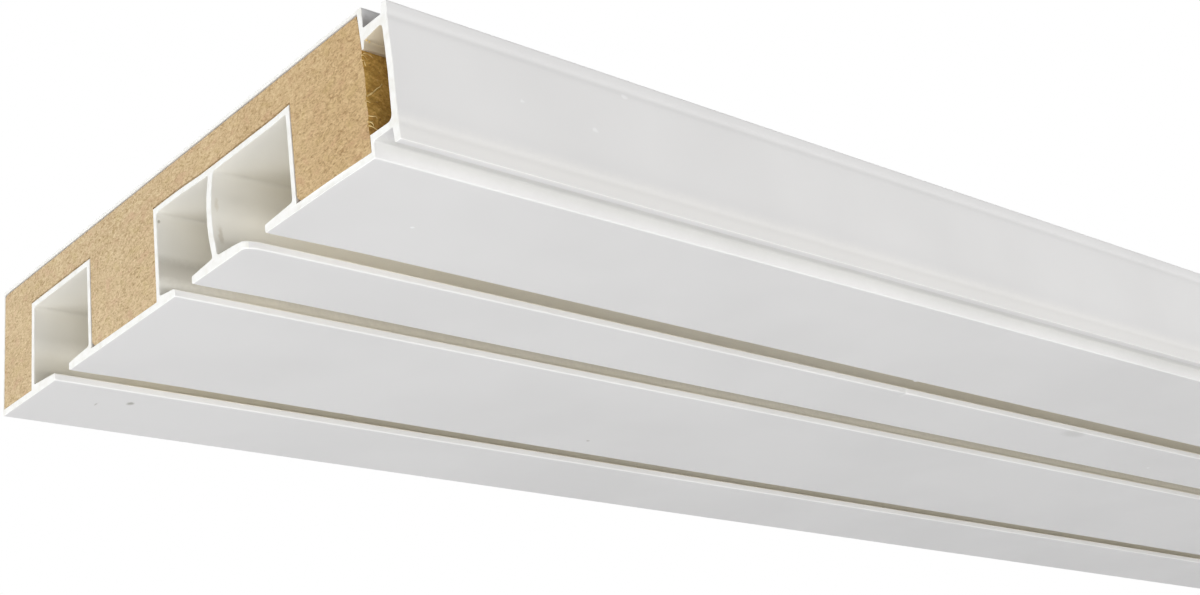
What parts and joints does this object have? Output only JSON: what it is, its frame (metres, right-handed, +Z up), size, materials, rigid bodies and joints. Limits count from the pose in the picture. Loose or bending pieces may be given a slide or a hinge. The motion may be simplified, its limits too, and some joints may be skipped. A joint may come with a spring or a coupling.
{
  "type": "curtain track",
  "caption": "Ceiling curtain track: white extruded sleeve with slotted glider channels around a grooved fibreboard core, and a front panel with grooves for a cover strip.",
  "frame": {"origin": "middle of the ceiling face, half way along the run", "axes": "+X along the run, +Y towards the wall, -Y towards the room, +Z up to the ceiling"},
  "size_m": [0.4, 0.097, 0.0196],
  "materials": {
    "sleeve": "white extruded PVC, satin skin",
    "core": "raw medium-density fibreboard, sawn end"
  },
  "bodies": {
    "root": {"pvc_sleeve": "sleeve", "mdf_core": "core"}
  },
  "joints": []
}
